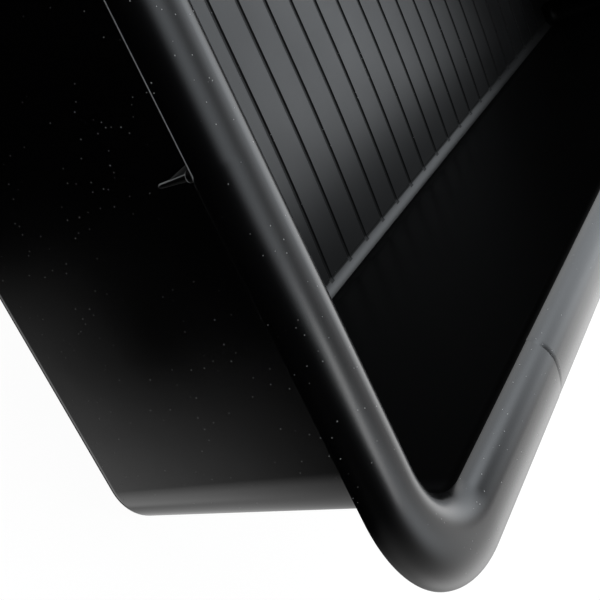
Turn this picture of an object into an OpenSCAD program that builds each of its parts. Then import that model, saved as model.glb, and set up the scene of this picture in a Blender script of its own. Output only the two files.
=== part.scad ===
// Shallow growing tray for microgreens: ribbed floor, drafted walls and a domed lip.
// Millimetres. X runs along the tray, Y across it, Z up, origin under the middle of the floor.

/* [Overall size] */
// Length over the lip, along X
tray_l = 540; // [240:1:700]
// Width over the lip, along Y
tray_w = 278; // [200:1:400]
// Height from the resting face to the crown of the lip
tray_h = 51; // [25:0.5:90]

/* [Walls] */
// Thickness of the side walls, square to the face
wall_t = 1.6; // [1:0.1:3]
// Lean of the side walls from the vertical, in degrees
wall_draft = 3.6; // [1:0.1:12]
// Outer rounding where a wall meets the resting face
base_r = 1.8; // [0.5:0.1:3]
// Inner rounding where a wall meets the floor
floor_fillet = 3; // [1:0.1:6]
// Plan radius of the flat floor's corners
floor_corner_r = 4; // [0.5:0.1:12]

/* [Lip] */
// Reach of the lip past the wall's outer face, at crown level
lip_reach = 9.8; // [7:0.1:16]
// Thickness of the lip
lip_t = 2; // [1:0.1:3]
// Hang of the lip's edge below its underside
lip_hang = 1.1; // [0.4:0.1:4]
// Width of the flat land under the lip's edge
lip_land = 1.8; // [1.2:0.1:2.5]
// Distance from the wall's outer face out to the crown line, at crown level
crown_inset = 3.1; // [1:0.1:4]
// Drop from the crown to the end of the lip's inner rounding
inner_drop = 4.6; // [1.5:0.1:6]
// Depth of the lip's root below its rounding, down to its seat on the wall
lip_root = 1; // [0.5:0.1:4]

/* [Seams] */
// Distance from the tray's end or side to the seam between a lip corner and a lip rail
seam_setback = 55; // [45:0.5:80]
// Step at the seam, by which the corner stands proud of an end rail
seam_step = 0.15; // [0.05:0.05:0.4]

/* [Floor] */
// Thickness of the floor plate under the ribs
plate_t = 1.4; // [1:0.1:3]
// Nominal pitch of the ribs, fitted evenly across the floor
rib_pitch = 9; // [6:0.5:14]
// Width of the drain groove between two ribs
groove_w = 1; // [0.8:0.1:3]
// Height of a rib above the floor plate
rib_h = 0.9; // [0.6:0.1:2]
// Rounding of a rib's upper edges
rib_edge_r = 0.25; // [0.1:0.05:0.5]

/* [Pegs] */
// Diameter of a peg's foot, under the lip
foot_d = 1.3; // [1:0.1:1.6]
// Height of a peg's foot
foot_h = 0.9; // [0.5:0.1:2]
// Diameter of a peg's stem where it leaves the foot
stem_d = 0.8; // [0.6:0.1:0.9]
// Diameter of a peg's rounded tip
tip_d = 0.5; // [0.4:0.1:0.6]
// Length of a peg below the lip's edge
peg_len = 4.7; // [4.5:0.1:7]
// Reach of the fin along the lip, from the peg's axis
fin_reach = 1.4; // [0.8:0.1:2]
// Length of the fin down the peg's axis
fin_len = 4.2; // [2:0.1:4.4]
// Thickness of the fin
fin_t = 0.4; // [0.3:0.1:0.6]
// Distance from the seam to a peg's axis
peg_from_seam = 7.7; // [2:0.1:20]

/* [Hidden] */

$fn = 96;
arc_steps = 10;
plastic = [0.07, 0.07, 0.075];

// Profiles are drawn as [n, z]: n is the distance inwards from the lip's edge.
floor_top = plate_t + rib_h;
lip_under = tray_h - lip_t;
lip_edge_z = lip_under - lip_hang;
inner_edge_z = tray_h - inner_drop;
lip_seat_z = min(lip_under, inner_edge_z) - lip_root;
crown_n = lip_reach - crown_inset;

// Faces of the drafted wall at height z
function wall_out(z) = lip_reach + (tray_h - z) * tan(wall_draft);
function wall_in(z) = wall_out(z) + wall_t / cos(wall_draft);

// Middle of a rounding of radius r between a drafted face at n0 and a level at z0
function fillet_mid(n0, z0, r) = [n0 + r / tan(45 + wall_draft / 2), z0 + r];

base_mid = fillet_mid(wall_out(0), 0, base_r);
floor_mid = fillet_mid(wall_in(floor_top), floor_top, floor_fillet);

// Every corner turns about one axis, this far in from both sides of the tray
corner_r = floor_mid.x + floor_corner_r;
floor_l = tray_l - 2 * corner_r;
floor_w = tray_w - 2 * corner_r;
rib_l = tray_l - 2 * floor_mid.x;

rib_count = round(floor_w / rib_pitch);
rib_step = (floor_w + groove_w) / rib_count;
rib_w = rib_step - groove_w;

peg_x = tray_l / 2 - seam_setback - peg_from_seam;
peg_y = tray_w / 2 - lip_land / 2;

// Points of an ellipse about mid with half-axes size, from angle a0 to angle a1
function ellipse_arc(mid, size, a0, a1) = [
    for (i = [0 : arc_steps])
        let (a = a0 + (a1 - a0) * i / arc_steps)
        mid + [size.x * cos(a), size.y * sin(a)]
];

function circle_arc(mid, r, a0, a1) = ellipse_arc(mid, [r, r], a0, a1);

// Wall with its two roundings, from the seat of the lip down to the floor strip that ends at foot
function wall_profile(foot) = concat(
    [[wall_out(lip_seat_z), lip_seat_z]],
    circle_arc(base_mid, base_r, 180 + wall_draft, 270),
    [[foot, 0]],
    foot > floor_mid.x ? [[foot, floor_top]] : [],
    circle_arc(floor_mid, floor_fillet, 270, 180 + wall_draft),
    [[wall_in(lip_seat_z), lip_seat_z]]
);

// Domed lip with an arched underside, its outer faces lowered by step
function lip_profile(step) = concat(
    ellipse_arc([crown_n, lip_edge_z], [crown_n - step, tray_h - step - lip_edge_z], 180, 90),
    ellipse_arc([crown_n, inner_edge_z],
        [wall_in(inner_edge_z) - crown_n, inner_drop - step], 90, 0),
    [[wall_in(lip_seat_z), lip_seat_z], [wall_out(lip_seat_z), lip_seat_z]],
    [[wall_out(lip_under), lip_under]],
    ellipse_arc([crown_n, lip_edge_z], [crown_n - lip_land, lip_hang], 90, 180)
);

// Rib seen from its end: flat on top, with rounded upper edges
rib_profile = concat(
    [[-rib_w / 2, 0], [rib_w / 2, 0]],
    circle_arc([rib_w / 2 - rib_edge_r, rib_h - rib_edge_r], rib_edge_r, 0, 90),
    circle_arc([rib_edge_r - rib_w / 2, rib_h - rib_edge_r], rib_edge_r, 90, 180)
);

// Carries a profile along the side that faces the front, after a turn about Z
module along_side(profile, turn, depth, run) {
    rotate([0, 0, turn])
        translate([0, -depth / 2, 0])
            rotate([90, 0, 90])
                linear_extrude(run, center = true)
                    polygon(profile);
}

// The same profile measured outwards from the corner axis
function from_axis(profile) = [for (p = profile) [corner_r - p.x, p.y]];

// Moves to the axis of the corner that spans the quarter from the angle start
module at_corner(start) {
    right = start == 0 || start == 270;
    rear = start == 0 || start == 90;
    translate([(right ? 1 : -1) * floor_l / 2, (rear ? 1 : -1) * floor_w / 2, 0])
        rotate([0, 0, start])
            children();
}

module floor_plate() {
    color(plastic)
        translate([-rib_l / 2, -floor_w / 2, 0])
            cube([rib_l, floor_w, plate_t]);
}

module floor_ribs() {
    color(plastic)
        for (i = [0 : rib_count - 1])
            translate([0, i * rib_step + (rib_w - floor_w) / 2, plate_t])
                rotate([90, 0, 90])
                    linear_extrude(rib_l, center = true)
                        polygon(rib_profile);
}

module long_wall(turn) {
    color(plastic)
        along_side(wall_profile(corner_r), turn, tray_w, floor_l);
}

module end_wall(turn) {
    color(plastic)
        along_side(wall_profile(floor_mid.x), turn, tray_l, floor_w);
}

module corner_wall(start) {
    color(plastic)
        at_corner(start)
            rotate_extrude(angle = 90)
                polygon(from_axis(wall_profile(corner_r)));
}

// The long rails run flush into the corners, and the end rails lie lower by the step
module long_rail(turn) {
    color(plastic)
        along_side(lip_profile(0), turn, tray_w, tray_l - 2 * seam_setback);
}

module end_rail(turn) {
    color(plastic)
        along_side(lip_profile(seam_step), turn, tray_l, tray_w - 2 * seam_setback);
}

// Quarter turn of the lip with a straight leg out to the seam at each end
module lip_corner(start) {
    leg = seam_setback - corner_r;
    section = from_axis(lip_profile(0));
    color(plastic)
        at_corner(start)
            union() {
                rotate_extrude(angle = 90)
                    polygon(section);
                rotate([90, 0, 0])
                    linear_extrude(leg)
                        polygon(section);
                rotate([90, 0, 90])
                    translate([0, 0, -leg])
                        linear_extrude(leg)
                            polygon(section);
            }
}

// Tapered stem on a wider foot, hanging from the land under the lip's edge, with a fin on one side
module lip_peg() {
    tip_r = tip_d / 2;
    union() {
        rotate_extrude()
            polygon(concat(
                [[0, 0], [foot_d / 2, 0], [foot_d / 2, -foot_h], [stem_d / 2, -foot_h]],
                circle_arc([0, tip_r - peg_len], tip_r, 0, -90)
            ));
        rotate([90, 0, 0])
            linear_extrude(fin_t, center = true)
                polygon([[0, 0], [fin_reach, 0], [0, -fin_len]]);
    }
}

// One peg near each end of both long sides, its fin towards the middle of the tray
module lip_pegs() {
    color(plastic)
        for (x = [-peg_x, peg_x], y = [-peg_y, peg_y])
            translate([x, y, lip_edge_z])
                rotate([0, 0, x > 0 ? 180 : 0])
                    lip_peg();
}

floor_plate();
floor_ribs();
long_wall(0);  // front_wall
end_wall(90);  // right_wall
long_wall(180);  // back_wall
end_wall(270);  // left_wall
corner_wall(270);  // front_right_corner_wall
corner_wall(0);  // back_right_corner_wall
corner_wall(90);  // back_left_corner_wall
corner_wall(180);  // front_left_corner_wall
long_rail(0);  // front_lip_rail
end_rail(90);  // right_lip_rail
long_rail(180);  // back_lip_rail
end_rail(270);  // left_lip_rail
lip_corner(270);  // front_right_lip_corner
lip_corner(0);  // back_right_lip_corner
lip_corner(90);  // back_left_lip_corner
lip_corner(180);  // front_left_lip_corner
lip_pegs();
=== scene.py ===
"""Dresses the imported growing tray: smooth mouldings, black plastic, a soft studio and the camera.

Sizes are in millimetres in the row frame: X along the tray, Y across it, Z up, origin under the
middle of the floor. Meshes are written in metres, with every object at the origin.
"""

from __future__ import annotations

import logging
import math
from dataclasses import dataclass, field, replace
from enum import Enum, IntEnum

import bpy
import numpy as np
from mathutils import Matrix


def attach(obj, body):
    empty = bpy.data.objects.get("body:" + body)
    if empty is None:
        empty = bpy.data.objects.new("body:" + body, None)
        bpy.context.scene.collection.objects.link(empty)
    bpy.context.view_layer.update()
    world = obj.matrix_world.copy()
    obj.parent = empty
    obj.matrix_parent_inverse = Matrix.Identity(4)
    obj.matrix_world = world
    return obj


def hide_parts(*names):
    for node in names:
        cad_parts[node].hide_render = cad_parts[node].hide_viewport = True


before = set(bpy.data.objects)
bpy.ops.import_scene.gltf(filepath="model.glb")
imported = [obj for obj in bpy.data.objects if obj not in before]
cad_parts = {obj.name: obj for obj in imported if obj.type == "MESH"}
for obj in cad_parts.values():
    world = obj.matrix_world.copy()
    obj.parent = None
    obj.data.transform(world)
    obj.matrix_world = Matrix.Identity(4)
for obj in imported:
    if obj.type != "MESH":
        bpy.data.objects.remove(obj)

LOG = logging.getLogger("tray")
MM = 0.001
BODY = "root"
COOL = (0.94, 1.0, 1.06)
WHITE = (1.0, 1.0, 1.0)
SENSOR_WIDTH = 36.0

# Least distance between two places across the floor, and least length of a vector that has a direction
NEAR = 1e-6
TINY = 1e-12

# Run of a wall's outline that is the lower part of its fillet, next to the floor
FILLET_RUN = 6

# Sockets of a mix node's colours, which share their names with those of its other kinds
MIX_LOW = 6
MIX_HIGH = 7
MIX_RESULT = 2

Pair = tuple[float, float]
Colour = tuple[float, float, float]
Path = tuple[np.ndarray, np.ndarray]
Runs = tuple[tuple[int, int], ...]
Output = bpy.types.NodeSocket
Inputs = dict[int | str, float | Colour | Output]


class Side(Enum):
    """The four sides, each with the direction in degrees that its outer face looks to."""

    FRONT = 270
    RIGHT = 0
    BACK = 90
    LEFT = 180

    @property
    def is_long(self) -> bool:
        """True for the two sides that run along X."""
        return self in (Side.FRONT, Side.BACK)


class Corner(Enum):
    """The four corners, each with the angle in degrees at which its quarter turn starts."""

    FRONT_RIGHT = 270
    BACK_RIGHT = 0
    BACK_LEFT = 90
    FRONT_LEFT = 180


class WallCoat(IntEnum):
    """Numbers of a wall's finishes."""

    OUTER = 0
    # Painted shade: the darker copy of the plastic with almost no reflection
    INSIDE = 1
    FLOOR = 2
    # Painted shade of the grooves and the foot of the fillets
    GROOVE = 3


class LipCoat(IntEnum):
    """Numbers of a lip piece's finishes."""

    GLOSS = 0
    # Painted shade on the lip's lower inner rounding and root
    INSIDE = 1
    # Painted highlight along the lower outer edge
    FLASH = 2


class PegCoat(IntEnum):
    """Numbers of a peg's finishes."""

    # Painted shade on the core and the foot's body
    INSIDE = 0
    # Painted highlight on one edge of the stem and the foot's lower rim
    FLASH = 1
    # Painted sheen on the fin, the stem's other edge and the foot's upper rim
    HAZE = 2


def heading(degrees: np.ndarray | float) -> np.ndarray:
    """Unit vectors in plan that look to the given angles, cosine along X and sine along Y."""
    turn = np.radians(degrees)
    return np.stack([np.cos(turn), np.sin(turn)], axis=-1)


def ease(low: float, high: float, value: np.ndarray) -> np.ndarray:
    """Smooth step: 0 below low, 1 above high, and t * t * (3 - 2 t) between them."""
    t = np.clip((value - low) / (high - low), 0.0, 1.0)
    return t * t * (3.0 - 2.0 * t)


@dataclass(frozen=True)
class TraySizes:
    """Sizes of the moulding, repeated from the part's source, and what follows from them."""

    length: float = 540.0
    width: float = 278.0
    height: float = 51.0
    wall: float = 1.6
    draft: float = 3.6
    base_round: float = 1.8
    floor_fillet: float = 3.0
    floor_corner: float = 4.0
    lip_reach: float = 9.8
    lip_thick: float = 2.0
    lip_hang: float = 1.1
    lip_land: float = 1.8
    crown_inset: float = 3.1
    inner_drop: float = 4.6
    lip_root: float = 1.0
    seam_setback: float = 55.0
    seam_step: float = 0.15
    plate: float = 1.4
    rib_pitch: float = 9.0
    groove: float = 1.0
    rib_height: float = 0.9
    peg_from_seam: float = 7.7

    @property
    def floor_top(self) -> float:
        """Height of the rib tops where they meet the walls."""
        return self.plate + self.rib_height

    @property
    def lip_under(self) -> float:
        """Height of the lip's underside next to the wall."""
        return self.height - self.lip_thick

    @property
    def lip_edge(self) -> float:
        """Height of the land under the lip's outer edge."""
        return self.lip_under - self.lip_hang

    @property
    def inner_edge(self) -> float:
        """Height at which the lip's inner rounding runs into the wall."""
        return self.height - self.inner_drop

    @property
    def lip_seat(self) -> float:
        """Height at which the lip's root sits on the wall."""
        return min(self.lip_under, self.inner_edge) - self.lip_root

    @property
    def crown(self) -> float:
        """Distance of the crown line in from the lip's outer edge."""
        return self.lip_reach - self.crown_inset

    @property
    def lean(self) -> float:
        """Tangent of the wall's draft."""
        return math.tan(math.radians(self.draft))

    def wall_out(self, z: float) -> float:
        """Distance of the wall's outer face in from the lip's edge, at height z."""
        return self.lip_reach + (self.height - z) * self.lean

    def wall_in(self, z: float) -> float:
        """Distance of the wall's inner face in from the lip's edge, at height z."""
        return self.wall_out(z) + self.wall / math.cos(math.radians(self.draft))

    def fillet_mid(self, reach: float, level: float, radius: float) -> Pair:
        """Middle of a rounding between a drafted face and a level.

        Args:
            reach: where the drafted face would meet the level.
            level: height of the level.
            radius: radius of the rounding.

        Returns:
            The middle as a distance in from the lip's edge and a height.
        """
        return reach + radius / math.tan(math.radians(45 + self.draft / 2)), level + radius

    @property
    def base_mid(self) -> Pair:
        """Middle of the rounding at the foot of the wall's outer face."""
        return self.fillet_mid(self.wall_out(0.0), 0.0, self.base_round)

    @property
    def floor_mid(self) -> Pair:
        """Middle of the rounding between the wall's inner face and the floor."""
        return self.fillet_mid(self.wall_in(self.floor_top), self.floor_top, self.floor_fillet)

    @property
    def corner(self) -> float:
        """Distance of a corner's axis in from the lip's edge."""
        return self.floor_mid[0] + self.floor_corner

    @property
    def floor_length(self) -> float:
        """Distance between corner axes along X."""
        return self.length - 2 * self.corner

    @property
    def floor_width(self) -> float:
        """Distance between corner axes along Y."""
        return self.width - 2 * self.corner

    @property
    def rib_length(self) -> float:
        """Length of the ribs, between the floor fillets of the two ends."""
        return self.length - 2 * self.floor_mid[0]

    @property
    def rib_count(self) -> int:
        """Number of ribs across the floor."""
        return round(self.floor_width / self.rib_pitch)

    @property
    def rib_step(self) -> float:
        """Distance between the middles of two grooves."""
        return (self.floor_width + self.groove) / self.rib_count

    @property
    def peg_along(self) -> float:
        """Distance of a peg from the tray's middle, along X."""
        return self.length / 2 - self.seam_setback - self.peg_from_seam


@dataclass(frozen=True)
class Outline:
    """A closed outline made of smooth runs that share their end points.

    Attributes:
        points: the outline's points, the last one joined to the first.
        runs: first and last point of each smooth run, where the last index may be the point count.
    """

    points: np.ndarray
    runs: Runs


def join_runs(runs: list[np.ndarray]) -> Outline:
    """Joins smooth runs end to end into one closed outline.

    Args:
        runs: point arrays in order, each starting where the one before it ends.

    Returns:
        The outline, with the shared end points kept once.
    """
    counts = [len(run) - 1 for run in runs]
    starts = np.concatenate([[0], np.cumsum(counts)])
    points = np.concatenate([run[:-1] for run in runs])
    return Outline(points, tuple((int(a), int(b)) for a, b in zip(starts[:-1], starts[1:])))


def straight(start: Pair, end: Pair, count: int = 2) -> np.ndarray:
    """Evenly spaced points from start to end."""
    return np.linspace(start, end, count + 1)


def bow(mid: Pair, half: Pair, first: float, last: float, count: int) -> np.ndarray:
    """Points of an ellipse: the middle plus the half-axes times cosine and sine of an even angle.

    Args:
        mid: middle of the ellipse.
        half: its two half-axes.
        first: angle of the first point, in degrees.
        last: angle of the last point, in degrees.
        count: number of steps.

    Returns:
        Points from the first angle to the last.
    """
    return np.asarray(mid) + np.asarray(half) * heading(np.linspace(first, last, count + 1))


def slope(grid: np.ndarray, axis: int) -> np.ndarray:
    """Second-order differences of a grid of points along one axis."""
    return np.gradient(grid, axis=axis, edge_order=2 if grid.shape[axis] > 2 else 1)


def unit(vectors: np.ndarray) -> np.ndarray:
    """Vectors scaled to length one."""
    return vectors / np.maximum(np.linalg.norm(vectors, axis=-1, keepdims=True), TINY)


def carry(section: np.ndarray, edge: np.ndarray, outward: np.ndarray) -> np.ndarray:
    """Carries a section along a path in plan.

    A section's point (n, z) at a station goes to the path's point less n times the outward
    direction, at height z.

    Args:
        section: points (n, z) of one section, or of one section per station.
        edge: the path's points in plan, one per station.
        outward: unit vectors in plan, one per station.

    Returns:
        A grid of points, stations by section points by three.
    """
    sections = np.broadcast_to(section, (len(edge), *section.shape[-2:]))
    plan = edge[:, None, :] - sections[..., :1] * outward[:, None, :]
    return np.concatenate([plan, sections[..., 1:]], axis=-1)


def add_object(name: str, data: bpy.types.ID) -> bpy.types.Object:
    """Makes an object and links it to the scene, at the origin.

    Args:
        name: name of the object.
        data: its mesh or its camera.

    Returns:
        The object.
    """
    made = bpy.data.objects.new(name, data)
    bpy.context.scene.collection.objects.link(made)
    return made


@dataclass
class MeshParts:
    """Vertices, faces and corner normals gathered for one mesh object."""

    points: list[np.ndarray] = field(default_factory=list)
    faces: list[list[int]] = field(default_factory=list)
    normals: list[np.ndarray] = field(default_factory=list)
    marks: list[np.ndarray] = field(default_factory=list)
    total: int = 0

    def add_tube(self, grid: np.ndarray, runs: Runs, coats: tuple[int | np.ndarray, ...]) -> None:
        """Adds a closed tube: quads between stations and a flat cap on each end.

        A corner's normal is the cross product of the slopes along the path and along its own
        smooth run, so the tube is smooth within a run and sharp between runs.

        Args:
            grid: stations by outline points by three, the outline clockwise seen along the path.
            runs: first and last point of each smooth run of the outline.
            coats: number of each run's finish, or of the finish of each of its faces.
        """
        stations, count = grid.shape[:2]
        wrapped = np.concatenate([grid, grid[:, :1]], axis=1)
        first = np.empty((stations, count, 3))
        second = np.empty((stations, count, 3))
        mark = np.zeros((stations - 1, count), dtype=np.int32)
        for (low, high), coat in zip(runs, coats):
            mark[:, low:high] = coat
            part = wrapped[:, low:high + 1]
            across = unit(np.cross(slope(part, 0), slope(part, 1)))
            first[:, low:high] = across[:, :-1]
            second[:, low:high] = across[:, 1:]
        index = np.arange(stations * count).reshape(stations, count) + self.total
        following = np.roll(index, -1, axis=1)
        quads = np.stack([index[:-1], index[1:], following[1:], following[:-1]], axis=-1)
        bends = np.stack([first[:-1], first[1:], second[1:], second[:-1]], axis=-2)
        self.points.append(grid.reshape(-1, 3))
        self.faces.extend(quads.reshape(-1, 4).tolist())
        self.normals.append(bends.reshape(-1, 3))
        self.marks.append(np.append(mark.ravel(), [0, 0]))
        for row, ring, flip in ((0, index[0], -1.0), (-1, index[-1][::-1], 1.0)):
            along = unit(slope(grid, 0)[row].mean(axis=0)) * flip
            self.faces.append(ring.tolist())
            self.normals.append(np.broadcast_to(along, (count, 3)))
        self.total += stations * count

    def settle(self, name: str, node: str, *finishes: bpy.types.Material) -> None:
        """Writes the parts into a piece in metres, which rides on the tray and stands for a solid.

        Args:
            name: name of the piece.
            node: name of the solid that it stands for.
            finishes: the materials that cover it, in the order of its runs' numbers.
        """
        mesh = bpy.data.meshes.new(name)
        mesh.from_pydata((np.concatenate(self.points) * MM).tolist(), [], self.faces)
        mesh.polygons.foreach_set("use_smooth", np.ones(len(mesh.polygons), dtype=bool))
        mesh.normals_split_custom_set(np.concatenate(self.normals).tolist())
        for finish in finishes:
            mesh.materials.append(finish)
        mesh.polygons.foreach_set("material_index", np.concatenate(self.marks))
        mesh.update()
        piece = add_object(name, mesh)
        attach(piece, BODY)
        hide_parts(node)
        LOG.info("%s: %d faces, for %s", name, len(mesh.polygons), node)


@dataclass
class Nodes:
    """The shader nodes of a material or a world.

    Attributes:
        tree: the node tree.
    """

    tree: bpy.types.NodeTree

    @classmethod
    def of(cls, owner: bpy.types.Material | bpy.types.World) -> Nodes:
        """Empties the node tree of a material or a world.

        Args:
            owner: the material or the world.

        Returns:
            Its nodes, none as yet.
        """
        owner.use_nodes = True
        owner.node_tree.nodes.clear()
        return cls(owner.node_tree)

    def add(self, kind: str, inputs: Inputs, output: int | str = 0, **settings: str) -> Output:
        """Adds a node.

        Args:
            kind: the node's type, without the prefix that all shader nodes share.
            inputs: numbers, colours or other nodes' outputs, by an input's name or number.
            output: name or number of the output that is wanted.
            settings: the node's own settings.

        Returns:
            The output.
        """
        node = self.tree.nodes.new(f"ShaderNode{kind}")
        for name, setting in settings.items():
            setattr(node, name, setting)
        for key, value in inputs.items():
            if isinstance(value, Output):
                self.tree.links.new(value, node.inputs[key])
            else:
                node.inputs[key].default_value = (*value, 1.0) if isinstance(value, tuple) else value
        return node.outputs[output]

    def math(self, operation: str, *values: float | Output) -> Output:
        """Result of an operation on numbers or outputs."""
        return self.add("Math", dict(enumerate(values)), operation=operation)

    def noise(self, place: Output, scale: float, detail: float) -> Output:
        """Cloud noise at a place in metres, with so many clouds per metre and octaves."""
        return self.add("TexNoise", {"Vector": place, "Scale": scale, "Detail": detail}, "Fac")

    def mix(self, share: Output, low: Colour | Output, high: Colour | Output) -> Output:
        """Mixes two colours by the share of the second."""
        inputs = {"Factor": share, MIX_LOW: low, MIX_HIGH: high}
        return self.add("Mix", inputs, MIX_RESULT, data_type="RGBA")

    def span(self, value: Output, source: Pair, target: Pair = (0.0, 1.0), **settings: str) -> Output:
        """Maps values from one range to another, and holds them at its ends."""
        names = ("From Min", "From Max", "To Min", "To Max")
        return self.add("MapRange", {"Value": value, **dict(zip(names, (*source, *target)))}, **settings)

    def finish(self, kind: str, surface: Output) -> None:
        """Leads a shader to the output node of a material or a world."""
        self.tree.links.new(surface, self.tree.nodes.new(f"ShaderNodeOutput{kind}").inputs["Surface"])


@dataclass(frozen=True)
class BlackPlastic:
    """Satin black polypropylene as it leaves the mould, with handling marks and a little dust.

    Attributes:
        name: name of the material.
        deep: colour of the plastic.
        worn: colour of the slightly paler cloud on it.
        roughness: lowest and highest roughness of the clouded gloss.
        shine: level of the mirror-like reflection, where 0.5 is that of clear plastic.
        dust_colour: colour of the specks.
        dust_cell: distance between possible specks, in millimetres.
        dust_size: radius of a speck, in millimetres.
        dust_core: share of that radius within which a speck is opaque.
        dust_span: levels of a drift between which the dust goes from none to all of it.
        drift: clouds per metre and octaves of the drifts of dust.
        mark: the same of the handling marks.
        mark_span: levels of a mark between which the roughness rises.
        ripple: clouds per metre, octaves and depth in millimetres of the mould's slow ripple.
        grain: the same of its fine grain.
    """

    name: str = "black_plastic"
    deep: Colour = (0.0010, 0.0010, 0.0011)
    worn: Colour = (0.0018, 0.0018, 0.0020)
    roughness: Pair = (0.20, 0.23)
    shine: float = 0.5
    dust_colour: Colour = (0.42, 0.42, 0.41)
    dust_cell: float = 1.15
    dust_size: float = 0.085
    dust_core: float = 0.6
    dust_span: Pair = (0.40, 0.52)
    drift: Pair = (38.0, 1.0)
    mark: Pair = (55.0, 3.0)
    mark_span: Pair = (0.3, 0.7)
    ripple: tuple[float, float, float] = (110.0, 1.0, 0.010)
    grain: tuple[float, float, float] = (2600.0, 2.0, 0.0012)

    def make(self) -> bpy.types.Material:
        """Builds the node material on object coordinates.

        Returns:
            The material.
        """
        material = bpy.data.materials.new(self.name)
        nodes = Nodes.of(material)
        place = nodes.add("TexCoord", {}, "Object")
        cloud = nodes.noise(place, *self.mark)
        speck = self.specks(nodes, place)
        tint = nodes.mix(cloud, self.deep, self.worn)
        gloss = nodes.span(cloud, self.mark_span, self.roughness)
        inputs = {
            "Base Color": nodes.mix(speck, tint, self.dust_colour),
            "Roughness": nodes.math("MAXIMUM", gloss, speck),
            "Specular IOR Level": self.shine,
            "Normal": self.relief(nodes, place),
        }
        nodes.finish("Material", nodes.add("BsdfPrincipled", inputs))
        return material

    def specks(self, nodes: Nodes, place: Output) -> Output:
        """Dust: small balls round the points of a cell pattern, thinned out by slow clouds.

        Args:
            nodes: the material's nodes.
            place: coordinates, in metres.

        Returns:
            1 on a speck and 0 off it.
        """
        radius = self.dust_size / self.dust_cell
        per_metre = 1.0 / (self.dust_cell * MM)
        away = nodes.add("TexVoronoi", {"Vector": place, "Scale": per_metre}, "Distance")
        ball = nodes.span(away, (radius, radius * self.dust_core))
        where = nodes.span(nodes.noise(place, *self.drift), self.dust_span)
        return nodes.math("MULTIPLY", ball, where)

    def relief(self, nodes: Nodes, place: Output) -> Output:
        """Surface relief: the mould's slow ripple, and its fine grain on top of that.

        Args:
            nodes: the material's nodes.
            place: coordinates, in metres.

        Returns:
            The normal.
        """
        below = {}
        for scale, detail, depth in (self.ripple, self.grain):
            height = nodes.noise(place, scale, detail)
            inputs = {"Strength": 1.0, "Distance": depth * MM, "Height": height, **below}
            below = {"Normal": nodes.add("Bump", inputs)}
        return below["Normal"]


@dataclass
class Finishes:
    """The plastic's finishes on different parts of the moulding.

    Attributes:
        gloss: polished lip.
        outer: the smoothest faces, outside the walls.
        floor: duller floor and its fillets.
        groove: painted shade in the grooves and at the foot of the fillets, a copy of the plastic with much
            less reflection over a slightly paler colour.
        inside: painted shade on the inner faces of the walls, a darker, lightly textured copy of the plastic
            with almost no reflection.
        flash: pale grey paint for the highlight along the moulding line.
        haze: grey paint for the dim sheen on thin fins.
    """

    gloss: bpy.types.Material
    outer: bpy.types.Material
    floor: bpy.types.Material
    groove: bpy.types.Material
    inside: bpy.types.Material
    flash: bpy.types.Material
    haze: bpy.types.Material

    @classmethod
    def make(cls) -> Finishes:
        """Builds all finishes.

        Returns:
            The finishes.
        """
        faint = (0.02, 0.02, 0.02)
        # Painted sheen: grey paint for the dim sheen on the pegs' fins, rims and one edge of the stem
        haze = BlackPlastic("hazed_fin", (0.012,) * 3, (0.018,) * 3, roughness=(0.5, 0.6), shine=0.1)
        return cls(
            BlackPlastic().make(),
            BlackPlastic("outer_plastic", roughness=(0.10, 0.13)).make(),
            BlackPlastic("floor_plastic", roughness=(0.36, 0.40), dust_colour=faint).make(),
            # Painted shade for the grooves and the foot of the fillets: much less reflection over a slightly
            # paler colour
            BlackPlastic("groove_plastic", (0.004,) * 3, (0.006,) * 3, (0.42, 0.46), 0.12).make(),
            # Painted shade for the walls' inner faces, the lip's root and the pegs' cores: darker, with
            # almost no reflection
            BlackPlastic("inside_plastic", (0.0006,) * 3, (0.0011,) * 3, (0.28, 0.32), 0.015, faint).make(),
            # Painted highlight: pale grey for the lit line along the lip's lower edge and on the pegs
            replace(haze, name="flash_line", deep=(0.24,) * 3, worn=(0.34,) * 3).make(),
            haze.make(),
        )


@dataclass
class Moulding:
    """A sub-assembly of the tray, with the paths in plan round the lip's outer edge.

    Attributes:
        sizes: the tray's sizes.
        finishes: the plastic's finishes.
    """

    sizes: TraySizes
    finishes: Finishes

    def along_side(self, side: Side, stops: np.ndarray) -> Path:
        """A straight path along one side's edge.

        Args:
            side: the side.
            stops: distances from the side's middle, in the direction that goes round anticlockwise.

        Returns:
            The path's points and its outward directions.
        """
        outward = heading(side.value)
        onward = heading(side.value + 90)
        depth = self.sizes.width if side.is_long else self.sizes.length
        edge = outward * depth / 2 + stops[:, None] * onward
        return edge, np.broadcast_to(outward, edge.shape)

    def round_corner(self, corner: Corner, steps: int, legs: np.ndarray) -> Path:
        """A quarter turn about a corner's axis, with a straight leg on both ends.

        Args:
            corner: the corner.
            steps: number of steps in the turn.
            legs: distances along a leg from its free end to the turn, rising, or empty for none.

        Returns:
            The path's points and its outward directions.
        """
        middle = heading(corner.value + 45)
        half = np.array([self.sizes.floor_length, self.sizes.floor_width]) / 2
        axis = np.sign(middle) * half
        turn = np.linspace(corner.value, corner.value + 90, steps + 1)
        outward = heading(turn)
        edge = axis + self.sizes.corner * outward
        if len(legs) == 0:
            return edge, outward
        back = heading(corner.value - 90)
        onward = heading(corner.value + 180)
        entry = edge[0] + (legs[-1] - legs)[:-1, None] * back
        leave = edge[-1] + (legs[-1] - legs)[:-1][::-1, None] * onward
        before = np.broadcast_to(outward[0], entry.shape)
        after = np.broadcast_to(outward[-1], leave.shape)
        return np.concatenate([entry, edge, leave]), np.concatenate([before, outward, after])


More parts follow.
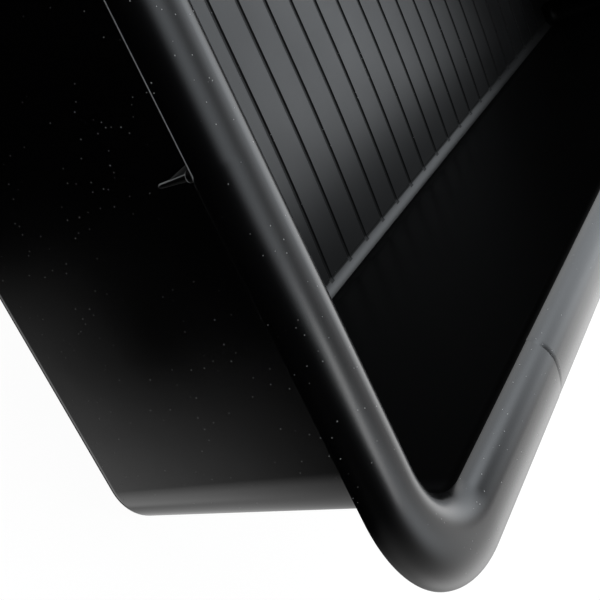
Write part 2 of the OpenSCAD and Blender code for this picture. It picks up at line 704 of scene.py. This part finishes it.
@dataclass
class RibField:
    """Cross-section of the ribbed floor and its crown.

    Attributes:
        sizes: the tray's sizes.
        crown_rise: rise of the floor from its rim to its middle.
        crown_run: distance over which it rises from the two ends.
        side_run: distance over which it rises from the two long sides.
        depth: depth to which the grooves look open.
        shoulder: half-width of the rounded shoulders beside a groove.
        end_share: share of that depth that is left where a groove meets a fillet.
        end_run: distance over which it gets there.
        groove_steps: steps across a groove and its shoulders.
    """

    sizes: TraySizes
    crown_rise: float = 1.2
    crown_run: float = 36.0
    side_run: float = 16.0
    depth: float = 0.22
    shoulder: float = 0.2
    end_share: float = 0.6
    end_run: float = 4.0
    groove_steps: int = 24

    def stops(self) -> np.ndarray:
        """Places across the floor: close together in the grooves, with two more on each rib.

        Returns:
            The places, rising.
        """
        sizes = self.sizes
        reach = sizes.groove / 2 + self.shoulder
        groove = np.linspace(-reach, reach, self.groove_steps + 1)
        rib = np.array([sizes.rib_step / 3, sizes.rib_step * 2 / 3])
        count = sizes.rib_count
        middles = (np.arange(count + 1) - count / 2) * sizes.rib_step
        places = (middles[:, None] + np.concatenate([groove, rib])).ravel()
        half = sizes.floor_width / 2
        return np.concatenate([[-half], places[np.abs(places) < half - NEAR], [half]])

    def drop(self, y: np.ndarray) -> np.ndarray:
        """Depth of the ribbed surface under the rib tops.

        The tops are flat; a smooth step as wide as two shoulders leads down to a groove's bottom.
        The outermost ribs run flush into the walls' strip of floor.

        Args:
            y: places across the floor.

        Returns:
            Depths, zero on a rib.
        """
        half = self.sizes.groove / 2
        return self.depth * (1.0 - ease(half - self.shoulder, half + self.shoulder, self.away(y)))

    def away(self, y: np.ndarray) -> np.ndarray:
        """Distance from the nearest groove's middle, where the floor's two rims have no groove.

        Args:
            y: places across the floor.

        Returns:
            Distances, never less than half a rib at the rims.
        """
        sizes = self.sizes
        phase = y / sizes.rib_step + (sizes.rib_count % 2) / 2
        near = np.abs(phase - np.round(phase)) * sizes.rib_step
        at_rim = np.abs(y) > (sizes.floor_width - sizes.rib_step) / 2
        return np.where(at_rim, sizes.rib_step / 2, near)

    def in_groove(self, y: np.ndarray) -> np.ndarray:
        """True between neighbouring places whose middle lies in a groove or on its shoulders."""
        return self.away((y[1:] + y[:-1]) / 2) < self.sizes.groove / 2 + self.shoulder

    def open_share(self, x: np.ndarray) -> np.ndarray:
        """Share of the grooves' depth along the floor, a smooth step from the end share up to 1."""
        inward = self.sizes.rib_length / 2 - np.abs(x)
        return self.end_share + (1.0 - self.end_share) * ease(0.0, self.end_run, inward)

    def crown(self, x: np.ndarray, y: np.ndarray) -> np.ndarray:
        """Height of the floor's crown over its rim.

        It is the rise times a share along X and a share along Y, each 1 - (1 - d / run) squared
        at a distance d in from the rim, and 1 from the end of its run on.

        Args:
            x: places along the floor.
            y: places across the floor.

        Returns:
            Heights, places along by places across.
        """
        ends = np.clip((self.sizes.rib_length / 2 - np.abs(x)) / self.crown_run, 0.0, 1.0)
        sides = np.clip((self.sizes.floor_width / 2 - np.abs(y)) / self.side_run, 0.0, 1.0)
        return self.crown_rise * np.outer(1.0 - (1.0 - ends) ** 2, 1.0 - (1.0 - sides) ** 2)


@dataclass
class RibbedFloor(Moulding):
    """The floor's ribs and grooves, one crowned sheet on the floor plate.

    Attributes:
        ribs: cross-section of the ribs.
        end_steps: steps along X over the rise of the crown at each end.
        middle_steps: steps along X between the two ends.
    """

    ribs: RibField
    end_steps: int = 20
    middle_steps: int = 12

    def build(self) -> None:
        """Carries the ribbed section along X, raised by the crown of both directions.

        The top's height is the rib tops' level, less the ribs' drop, plus the crown's rise along
        X times its rise along Y. The section goes along the top, down one side and back under.
        """
        sizes = self.sizes
        half = sizes.rib_length / 2
        flat = half - self.ribs.crown_run
        end = np.linspace(flat, half, self.end_steps + 1)
        x = np.concatenate([-end[::-1], np.linspace(-flat, flat, self.middle_steps + 1)[1:-1], end])
        y = self.ribs.stops()
        top = sizes.floor_top - np.outer(self.ribs.open_share(x), self.ribs.drop(y))
        grid = np.empty((len(x), len(y) + 2, 3))
        grid[..., 0] = x[:, None]
        grid[..., 1] = np.concatenate([y, y[[-1, 0]]])
        grid[:, :-2, 2] = top + self.ribs.crown(x, y)
        grid[:, -2:, 2] = sizes.plate
        last = len(y) - 1
        runs = ((0, last), (last, last + 1), (last + 1, last + 2), (last + 2, last + 3))
        parts = MeshParts()
        # The grooves and their shoulders carry the groove finish's painted shade
        parts.add_tube(grid, runs, (self.ribs.in_groove(y), 0, 0, 0))
        parts.settle("ribbed_floor", "floor_ribs", self.finishes.floor, self.finishes.groove)
        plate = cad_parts["floor_plate"]
        plate.data.materials.clear()
        plate.data.materials.append(self.finishes.floor)
        LOG.info("floor_plate: kept as packed, with the plastic's finish")


@dataclass
class WallRing(Moulding):
    """Four drafted walls and the four conical corner walls between them.

    Attributes:
        ribs: cross-section of the ribs, which run out into the end walls' fillets.
        arc_steps: steps in each rounding.
        turn_steps: steps in a corner's turn.
        run_out: share of the fillet's lower part over which a groove dies away.
        dull_to: angle of the fillet, in degrees, down to which it carries painted shade like the wall's inner
            face.
        foot_from: angle of the fillet from which its foot carries the grooves' painted shade.
        notch_from: the same where a groove runs into the fillet.
    """

    ribs: RibField
    arc_steps: int = 16
    turn_steps: int = 48
    run_out: float = 0.4
    dull_to: float = 215.0
    foot_from: float = 259.0
    notch_from: float = 249.0

    def outline(self, foot: float) -> Outline:
        """Section of a wall: two straight faces, a rounding at its base and one at the floor.

        Args:
            foot: distance in from the lip's edge at which the wall's strip of floor ends.

        Returns:
            The outline, starting under the foot and going outwards.
        """
        sizes = self.sizes
        seat = sizes.lip_seat
        lean = 180 + sizes.draft
        base = bow(sizes.base_mid, (sizes.base_round,) * 2, 270, lean, self.arc_steps)
        round_off = (sizes.floor_fillet,) * 2
        upper = bow(sizes.floor_mid, round_off, lean, self.dull_to, self.arc_steps)
        fillet = bow(sizes.floor_mid, round_off, self.dull_to, 270, self.arc_steps)
        runs = [
            straight((foot, 0.0), base[0]),
            base,
            straight(base[-1], (sizes.wall_out(seat), seat)),
            straight((sizes.wall_out(seat), seat), (sizes.wall_in(seat), seat)),
            straight((sizes.wall_in(seat), seat), upper[0]),
            upper,
            fillet,
        ]
        if foot > fillet[-1][0]:
            runs.append(straight(fillet[-1], (foot, sizes.floor_top)))
        runs.append(straight((foot, sizes.floor_top), (foot, 0.0)))
        return join_runs(runs)

    def build(self) -> None:
        """Carries the section along each side and round each corner."""
        sizes = self.sizes
        for side in Side:
            if side.is_long:
                outline = self.outline(sizes.corner)
                half = sizes.floor_length / 2
                grid = carry(outline.points, *self.along_side(side, np.array([-half, half])))
                foot = WallCoat.FLOOR
            else:
                outline = self.outline(sizes.floor_mid[0])
                stops = self.ribs.stops()
                grid = carry(self.grooved(outline, stops), *self.along_side(side, stops))
                foot = self.notched(stops)
            self.add_wall(f"{side.name.lower()}_wall", grid, outline, foot)
        for corner in Corner:
            outline = self.outline(sizes.corner)
            grid = carry(outline.points, *self.round_corner(corner, self.turn_steps, np.empty(0)))
            # The corner walls carry painted shade on their whole fillet and strip of floor
            self.add_wall(f"{corner.name.lower()}_corner_wall", grid, outline, WallCoat.INSIDE)

    def notched(self, stops: np.ndarray) -> np.ndarray:
        """Finishes on the lower part of an end wall's fillet: the grooves' painted shade on its foot and in
        notches where grooves run in.

        Args:
            stops: places across the floor, one per station.

        Returns:
            Numbers of finishes, faces along the wall by faces up the fillet.
        """
        angle = np.linspace(self.dull_to, 270, self.arc_steps + 1)
        start = np.where(self.ribs.in_groove(stops), self.notch_from, self.foot_from)
        # Painted shade of the groove finish in the fillet's crease and its notches
        return np.where((angle[1:] + angle[:-1]) / 2 > start[:, None], WallCoat.GROOVE, WallCoat.FLOOR)

    def add_wall(self, node: str, grid: np.ndarray, outline: Outline, foot: int | np.ndarray) -> None:
        """Makes one wall: its inner face and the fillet's upper part carry painted shade.

        Args:
            node: the solid that it stands for.
            grid: the wall's points.
            outline: its outline.
            foot: finish of the fillet's lower part and the strip of floor, or of each of their faces.
        """
        coats = [WallCoat.OUTER] * len(outline.runs)
        # Painted shade on the inner face and the fillet's upper part
        coats[FILLET_RUN - 2:FILLET_RUN] = [WallCoat.INSIDE] * 2
        coats[FILLET_RUN:-1] = [foot] * (len(coats) - 1 - FILLET_RUN)
        parts = MeshParts()
        parts.add_tube(grid, outline.runs, tuple(coats))
        finishes = self.finishes
        coating = (finishes.outer, finishes.inside, finishes.floor, finishes.groove)
        parts.settle(f"{node}_face", node, *coating)

    def grooved(self, outline: Outline, stops: np.ndarray) -> np.ndarray:
        """Sections of an end wall whose fillet carries the floor's grooves for a short way.

        A point of the fillet moves away from the fillet's middle by the ribs' drop at its place
        across the floor, times the share of it that is left at the fillet, times a smooth step
        that falls from 1 at the floor to 0 up the fillet.

        Args:
            outline: the wall's outline.
            stops: places across the floor, one per station.

        Returns:
            One section per station.
        """
        low, high = outline.runs[FILLET_RUN]
        sections = np.broadcast_to(outline.points, (len(stops), *outline.points.shape)).copy()
        away = unit(outline.points[low:high + 1] - np.asarray(self.sizes.floor_mid))
        fade = ease(1.0 - self.run_out, 1.0, np.linspace(0.0, 1.0, high - low + 1))
        drop = self.ribs.end_share * self.ribs.drop(stops)
        sections[:, low:high + 1] += drop[:, None, None] * fade[:, None] * away
        return sections


@dataclass
class Lip(Moulding):
    """The domed lip: four rails and four corner pieces that meet them at the seams.

    Attributes:
        arc_steps: steps in each quarter of the dome.
        root_steps: steps in the part of the inner rounding that carries painted shade.
        edge_steps: steps in the rounding of the lower outer edge.
        turn_steps: steps in a corner's turn.
        rail_round: rounding of a rail's lower outer edge.
        corner_round: rounding of a corner piece's lower outer edge.
        seam_round: rounding of a corner piece's end at the seam with a short rail.
        seam_steps: steps in that rounding.
        sink: depth to which a short rail's end sinks at the seam.
        sink_run: length over which it sinks.
        sink_steps: steps over that length.
        stop_run: length over which a long rail's rounded edge sharpens past a peg.
        dull_long: angle of the long sides' inner rounding, in degrees, from which it has painted shade like
            the wall.
        dull_short: the same angle on the short sides.
    """

    arc_steps: int = 24
    root_steps: int = 8
    edge_steps: int = 8
    turn_steps: int = 64
    rail_round: float = 0.28
    corner_round: float = 0.006
    seam_round: float = 0.17
    seam_steps: int = 6
    sink: float = 0.14
    sink_run: float = 1.6
    sink_steps: int = 8
    stop_run: float = 0.5
    dull_long: float = 12.0
    dull_short: float = 22.0

    def outline(self, step: float, edge: float, dull: float) -> Outline:
        """Section of the lip: two quarter ellipses over the top and a hollow, arched underside.

        Args:
            step: depth of the outer faces under those of a corner piece.
            edge: rounding of the lower outer edge.
            dull: angle of the inner rounding, in degrees, from which it carries painted shade.

        Returns:
            The outline, starting at the inner end of the land and going outwards.
        """
        sizes = self.sizes
        low = sizes.lip_edge
        seat = sizes.lip_seat
        under = sizes.lip_under
        root = (sizes.wall_in(sizes.inner_edge), sizes.inner_edge)
        outer = (sizes.crown - step, sizes.height - step - low - edge)
        inner = (root[0] - sizes.crown, sizes.inner_drop - step)
        hollow = (sizes.crown - sizes.lip_land, sizes.lip_hang)
        runs = [
            straight((sizes.lip_land, low), (step + edge, low)),
            bow((step + edge, low + edge), (edge, edge), 270, 180, self.edge_steps),
            bow((sizes.crown, low + edge), outer, 180, 90, self.arc_steps),
            bow((sizes.crown, sizes.inner_edge), inner, 90, dull, self.arc_steps),
            bow((sizes.crown, sizes.inner_edge), inner, dull, 0, self.root_steps),
            straight(root, (sizes.wall_in(seat), seat)),
            straight((sizes.wall_in(seat), seat), (sizes.wall_out(seat), seat)),
            straight((sizes.wall_out(seat), seat), (sizes.wall_out(under), under)),
            straight((sizes.wall_out(under), under), (sizes.crown, under)),
            bow((sizes.crown, low), hollow, 90, 180, self.arc_steps),
        ]
        return join_runs(runs)

    def build(self) -> None:
        """Carries the lip's sections along each side and round each corner."""
        for side in Side:
            self.build_rail(side)
        for corner in Corner:
            self.build_corner(corner)

    @staticmethod
    def coats(edge: LipCoat) -> tuple[LipCoat, ...]:
        """Finishes of the outline's ten runs: the given one on the lower outer edge, painted shade on the
        lower inner rounding and the root.
        """
        gloss = LipCoat.GLOSS
        # Painted shade on the lower inner rounding and the root
        return (gloss, edge, gloss, gloss, LipCoat.INSIDE, LipCoat.INSIDE, gloss, gloss, gloss, gloss)

    def seam(self) -> tuple[np.ndarray, np.ndarray]:
        """Rounded end at a seam: a quarter circle, given as distances from the end and drops.

        At a distance d from the end the surface lies lower by r - sqrt(r r - (r - d)(r - d)).

        Returns:
            Distances from the end, rising, and how much lower the surface lies there.
        """
        turn = np.linspace(0.0, math.pi / 2, self.seam_steps + 1)
        return self.seam_round * (1.0 - np.cos(turn)), self.seam_round * (1.0 - np.sin(turn))

    def build_rail(self, side: Side) -> None:
        """Carries a rail's section from seam to seam.

        A long rail is flush with the corner pieces, and the painted highlight on its lower edge's
        moulding line ends at the pegs. A short rail lies lower by the seam's step, and its ends sink a little
        more, with the square of the way along the sinking stretch.

        Args:
            side: the side that the rail belongs to.
        """
        sizes = self.sizes
        half = (sizes.length if side.is_long else sizes.width) / 2 - sizes.seam_setback
        if side.is_long:
            peg = sizes.peg_along
            ends = np.array([peg, peg + self.stop_run, half])
            steps = np.zeros(len(ends))
            rounds = np.where(ends > peg, self.corner_round, self.rail_round)
        else:
            near = np.linspace(self.sink_run, 0.0, self.sink_steps + 1)
            ends = half - near
            steps = sizes.seam_step + self.sink * (1.0 - near / self.sink_run) ** 2
            rounds = np.full(len(ends), self.rail_round)
        stops = np.concatenate([-ends[::-1], ends])
        both = zip(np.concatenate([steps[::-1], steps]), np.concatenate([rounds[::-1], rounds]))
        dull = self.dull_long if side.is_long else self.dull_short
        outlines = [self.outline(step, edge, dull) for step, edge in both]
        grid = carry(np.stack([o.points for o in outlines]), *self.along_side(side, stops))
        parts = MeshParts()
        # Long rails carry the painted highlight on their lower outer edge
        parts.add_tube(grid, outlines[0].runs, self.coats(LipCoat.FLASH if side.is_long else LipCoat.GLOSS))
        name = f"{side.name.lower()}_lip_rail"
        finishes = self.finishes
        parts.settle(f"{name}_moulding", name, finishes.gloss, finishes.inside, finishes.flash)

    def build_corner(self, corner: Corner) -> None:
        """Carries a corner piece's section round its turn, with its end rounded at the short rail.

        The angle from which the inner rounding carries painted shade goes from the long side's to the
        short side's with the square of the outward direction's share along X.

        Args:
            corner: the corner.
        """
        leg = self.sizes.seam_setback - self.sizes.corner
        near, lowered = self.seam()
        legs = np.concatenate([near, [leg / 2, leg]])
        edge, outward = self.round_corner(corner, self.turn_steps, legs)
        steps = np.zeros(len(edge))
        if Side(corner.value).is_long:
            steps[-len(near):] = lowered[::-1]
        else:
            steps[:len(near)] = lowered
        dulls = self.dull_long + (self.dull_short - self.dull_long) * outward[:, 0] ** 2
        outlines = [self.outline(step, self.corner_round, dull) for step, dull in zip(steps, dulls)]
        grid = carry(np.stack([o.points for o in outlines]), edge, outward)
        parts = MeshParts()
        parts.add_tube(grid, outlines[0].runs, self.coats(LipCoat.GLOSS))
        name = f"{corner.name.lower()}_lip_corner"
        parts.settle(f"{name}_moulding", name, self.finishes.gloss, self.finishes.inside)


@dataclass
class LipPegs(Moulding):
    """Four small pegs under the long rails: a tapered stem on a foot, a fin and the moulding line.

    Attributes:
        foot: diameter of the foot.
        foot_height: height of the foot.
        stem: diameter of the stem at the foot, over the moulding line.
        tip: diameter of the rounded tip, over the moulding line.
        tip_from: angle at which the tip's rounding starts, just off its pole, in degrees.
        tip_steps: steps in that rounding.
        length: length below the lip's edge.
        fin_reach: reach of the fin along the lip, from the axis.
        fin_length: length of the fin down the axis.
        fin_start: height of the fin's lowest section over its point.
        fin_thick: thickness of the fin.
        line: reach of the moulding line out of the stem.
        line_most: largest share of the stem's radius that this reach may take.
        line_width: width of the moulding line along the stem.
        line_thick: thickness of the moulding line.
        rim: rounding of the foot's edges.
        rim_steps: steps in that rounding.
        turn_steps: steps round a peg.
        oval_steps: steps round a blade.
    """

    foot: float = 1.3
    foot_height: float = 0.9
    stem: float = 0.85
    tip: float = 0.55
    tip_from: float = -88.0
    tip_steps: int = 8
    length: float = 4.7
    fin_reach: float = 1.4
    fin_length: float = 4.2
    fin_start: float = 0.1
    fin_thick: float = 0.2
    line: float = 0.12
    line_most: float = 0.9
    line_width: float = 0.17
    line_thick: float = 0.26
    rim: float = 0.14
    rim_steps: int = 5
    turn_steps: int = 28
    oval_steps: int = 16

    def turned(self, rings: np.ndarray) -> np.ndarray:
        """Turns a list of radii and heights about the peg's axis, heights rising.

        Args:
            rings: radius and height of each ring.

        Returns:
            A grid of points, rings by steps by three.
        """
        turn = heading(-np.linspace(0, 360, self.turn_steps, endpoint=False))
        plan = rings[:, None, :1] * turn[None]
        height = np.broadcast_to(rings[:, None, 1:], (*plan.shape[:2], 1))
        return np.concatenate([plan, height], axis=-1)

    def blade(self, low: np.ndarray, high: np.ndarray, heights: np.ndarray, thick: float) -> np.ndarray:
        """A flat blade in the plane of X and Z, with an oval cross-section at each height.

        Args:
            low: where the blade starts along X, one value per height.
            high: where it ends along X, one value per height.
            heights: heights of the sections, rising.
            thick: thickness across Y.

        Returns:
            A grid of points, heights by steps by three.
        """
        oval = heading(-np.linspace(0, 360, self.oval_steps, endpoint=False))
        grid = np.empty((len(heights), len(oval), 3))
        grid[..., 0] = ((low + high) / 2)[:, None] + ((high - low) / 2)[:, None] * oval[:, 0]
        grid[..., 1] = thick / 2 * oval[:, 1]
        grid[..., 2] = heights[:, None]
        return grid

    def grids(self) -> list[tuple[np.ndarray, PegCoat]]:
        """Shapes of one peg, hung from the height zero, each with its finish.

        Returns:
            Grids of points and their finishes.
        """
        radius = self.tip / 2
        end = bow((0.0, radius - self.length), (radius, radius), self.tip_from, 0, self.tip_steps)
        outer = np.concatenate([end, [[self.stem / 2, -self.foot_height]]])
        core = outer.copy()
        core[:, 0] -= np.minimum(self.line, outer[:, 0] * self.line_most)
        core[:len(end), 1] += self.line
        side = self.foot / 2
        bulge = self.rim / 2
        low_rim = bow((side - self.rim, self.rim - self.foot_height), (self.rim,) * 2, -90, 0, self.rim_steps)
        top_rim = np.array([[side, -self.rim], [side + bulge, -bulge], [side, 0.0]])
        body = np.array([low_rim[-1], top_rim[0]])
        fin = np.array([self.fin_start - self.fin_length, 0.0])
        reach = self.fin_reach * (1.0 + fin / self.fin_length)
        edge = np.maximum(outer[:, 0] - self.line_width, 0.0)
        # Painted highlight: the pale blade on one edge of the stem and the foot's lower rim; painted sheen:
        # the grey blade on the other edge, the foot's upper rim and the fin; painted shade: the core and the
        # foot's body
        return [
            (self.turned(core), PegCoat.INSIDE),
            (self.blade(edge, outer[:, 0], outer[:, 1], self.line_thick), PegCoat.FLASH),
            (self.blade(-outer[:, 0], -edge, outer[:, 1], self.line_thick), PegCoat.HAZE),
            (self.turned(low_rim), PegCoat.FLASH),
            (self.turned(body), PegCoat.INSIDE),
            (self.turned(top_rim), PegCoat.HAZE),
            (self.blade(np.zeros(2), reach, fin, self.fin_thick), PegCoat.HAZE),
        ]

    def build(self) -> None:
        """Sets the peg under the land of both long rails, with its fin towards the tray's middle."""
        across = (self.sizes.width - self.sizes.lip_land) / 2
        parts = MeshParts()
        for x, y in ((-1, -1), (1, -1), (1, 1), (-1, 1)):
            place = np.array([x * self.sizes.peg_along, y * across, self.sizes.lip_edge])
            for grid, coat in self.grids():
                parts.add_tube(grid * np.array([-x, -x, 1.0]) + place, ((0, grid.shape[1]),), (coat,))
        finishes = self.finishes
        parts.settle("peg_set", "lip_pegs", finishes.inside, finishes.flash, finishes.haze)


@dataclass(frozen=True)
class SoftPanel:
    """A soft-edged light panel, given by the directions that it fills.

    Attributes:
        name: what the panel is, or what it stands for.
        turn: first and last angle from the back (+Y) towards the right (+X), in degrees.
        height: first and last angle above the horizon, in degrees.
        soft: width of its soft edge, in degrees.
        strength: brightness, where 1 is white.
        tint: colour of the light.
    """

    name: str
    turn: Pair
    height: Pair
    soft: float
    strength: float
    tint: Colour = WHITE


@dataclass
class Studio:
    """Soft light panels in a dark studio, a white floor, and the camera.

    Attributes:
        panels: the light panels.
        fill: brightness of every direction without a panel.
        floor_half: half-width of the floor, in metres.
        floor_colour: colour of the floor.
        floor_glow: brightness of the white that the camera sees on it.
        shade: share of the real shading that the camera sees on the floor.
        place: the camera's place, in millimetres.
        look: the camera's turn about Z, its dip and its roll, in degrees.
        lens: focal length, in millimetres.
        clip: nearest and farthest distance that the camera sees, in metres.
    """

    panels: tuple[SoftPanel, ...] = (
        SoftPanel("right wash", (0, 120), (-30, 35), 50, 0.8),
        SoftPanel("right horizon", (12, 90), (-5, 20), 25, 1.0),
        SoftPanel("right fill", (30, 42), (24, 30), 12, 0.5),
        SoftPanel("right bank", (40, 55), (35, 50), 25, 2.4, COOL),
        SoftPanel("bar", (33, 52), (51, 54), 5, 8.0),
        SoftPanel("top bank", (-55, 40), (55, 65), 25, 2.8, COOL),
        SoftPanel("back bank", (-55, 20), (25, 35), 25, 3.0, COOL),
        SoftPanel("back horizon", (-50, 20), (10, 20), 25, 1.9, COOL),
        SoftPanel("left bank", (-105, -25), (30, 60), 25, 2.8, COOL),
        SoftPanel("left horizon", (-55, -15), (-15, 15), 25, 1.3),
        SoftPanel("left wash", (-110, -70), (-40, 60), 25, 1.5),
        SoftPanel("table on the left", (-145, -60), (-75, -30), 30, 1.0),
        SoftPanel("table on the right", (40, 135), (-50, -40), 25, 0.9),
        SoftPanel("table in front", (100, 147), (-62, -44), 16, 0.85),
        SoftPanel("table edge", (100, 158), (-85, -55), 16, 1.0),
    )
    fill: float = 0.002
    floor_half: float = 4.0
    floor_colour: Colour = (0.82, 0.82, 0.82)
    floor_glow: float = 1.1
    shade: float = 0.12
    place: tuple[float, float, float] = (188.7, -222.7, 112.1)
    look: tuple[float, float, float] = (-21.74, 33.2, 76.46)
    lens: float = 66.7
    clip: Pair = (0.01, 50.0)

    def build(self) -> None:
        """Makes the world, the floor and the camera."""
        self.build_world()
        self.build_floor()
        self.build_camera()

    def build_world(self) -> None:
        """Sums the panels by direction; the camera itself sees plain white."""
        world = bpy.data.worlds.new("studio")
        bpy.context.scene.world = world
        nodes = Nodes.of(world)
        way = nodes.add("SeparateXYZ", {"Vector": nodes.add("TexCoord", {}, "Generated")}).node.outputs
        turn = nodes.math("ARCTAN2", way["X"], way["Y"])
        height = nodes.math("ARCSINE", way["Z"])
        light = nodes.add("Background", {"Color": WHITE, "Strength": self.fill})
        for panel in self.panels:
            across = self.share(nodes, turn, panel.turn, panel.soft)
            upward = self.share(nodes, height, panel.height, panel.soft)
            strength = nodes.math("MULTIPLY", nodes.math("MULTIPLY", across, upward), panel.strength)
            lamp = nodes.add("Background", {"Color": panel.tint, "Strength": strength})
            light = nodes.add("AddShader", {0: light, 1: lamp})
        seen = nodes.add("LightPath", {}, "Is Camera Ray")
        white = nodes.add("Background", {"Color": WHITE})
        nodes.finish("World", nodes.add("MixShader", {0: seen, 1: light, 2: white}))
        LOG.info("studio: %s", ", ".join(panel.name for panel in self.panels))

    @staticmethod
    def share(nodes: Nodes, angle: Output, span: Pair, soft: float) -> Output:
        """Share of a panel at an angle: a smooth step up at its first edge times one down at its last.

        Args:
            nodes: the world's nodes.
            angle: the direction's angle, in radians.
            span: first and last angle, in degrees.
            soft: width of the soft edge, in degrees.

        Returns:
            The share, from 0 to 1.
        """
        half = math.radians(soft / 2)
        first, last = (math.radians(place) for place in span)
        rise = nodes.span(angle, (first - half, first + half), interpolation_type="SMOOTHSTEP")
        fall = nodes.span(angle, (last + half, last - half), interpolation_type="SMOOTHSTEP")
        return nodes.math("MULTIPLY", rise, fall)

    def build_floor(self) -> None:
        """Lays a wide pale floor; the camera sees it white with a trace of the tray's shadow.

        Glossy rays pass it by, so that the plastic mirrors the studio's panels.
        """
        half = self.floor_half
        mesh = bpy.data.meshes.new("floor")
        around = ((-half, -half, 0.0), (half, -half, 0.0), (half, half, 0.0), (-half, half, 0.0))
        mesh.from_pydata(around, [], [(0, 1, 2, 3)])
        floor = add_object("floor", mesh)
        floor.visible_glossy = False
        material = bpy.data.materials.new("floor_paper")
        nodes = Nodes.of(material)
        paper = nodes.add("BsdfDiffuse", {"Color": self.floor_colour})
        white = nodes.add("Emission", {"Strength": self.floor_glow})
        seen = nodes.math("MULTIPLY", nodes.add("LightPath", {}, "Is Camera Ray"), 1.0 - self.shade)
        nodes.finish("Material", nodes.add("MixShader", {0: seen, 1: paper, 2: white}))
        mesh.materials.append(material)

    def build_camera(self) -> None:
        """Sets the camera at the photograph's viewing angle."""
        turn, dip, roll = (math.radians(angle) for angle in self.look)
        ahead = np.array([-math.sin(turn) * math.cos(dip), math.cos(turn) * math.cos(dip), -math.sin(dip)])
        level = unit(np.cross(ahead, [0.0, 0.0, 1.0]))
        above = np.cross(level, ahead)
        right = level * math.cos(roll) + above * math.sin(roll)
        up = above * math.cos(roll) - level * math.sin(roll)
        matrix = np.eye(4)
        matrix[:3, 0] = right
        matrix[:3, 1] = up
        matrix[:3, 2] = -ahead
        matrix[:3, 3] = np.array(self.place) * MM
        data = bpy.data.cameras.new("camera")
        data.lens = self.lens
        data.sensor_width = SENSOR_WIDTH
        data.clip_start, data.clip_end = self.clip
        camera = add_object("camera", data)
        camera.matrix_world = Matrix(matrix.tolist())
        bpy.context.scene.camera = camera


@dataclass
class Tray:
    """The whole tray, made of its sub-assemblies.

    Attributes:
        sizes: the tray's sizes.
    """

    sizes: TraySizes = field(default_factory=TraySizes)

    def build(self) -> None:
        """Builds the floor, the walls, the lip and the pegs."""
        ribs = RibField(self.sizes)
        finishes = Finishes.make()
        RibbedFloor(self.sizes, finishes, ribs).build()
        WallRing(self.sizes, finishes, ribs).build()
        Lip(self.sizes, finishes).build()
        LipPegs(self.sizes, finishes).build()


def main() -> None:
    """Builds the tray, then the studio and the camera."""
    logging.basicConfig(level=logging.INFO, format="%(message)s")
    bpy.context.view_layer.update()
    Tray().build()
    Studio().build()
    bpy.context.scene.view_settings.view_transform = "Standard"


if __name__ == "__main__":
    main()
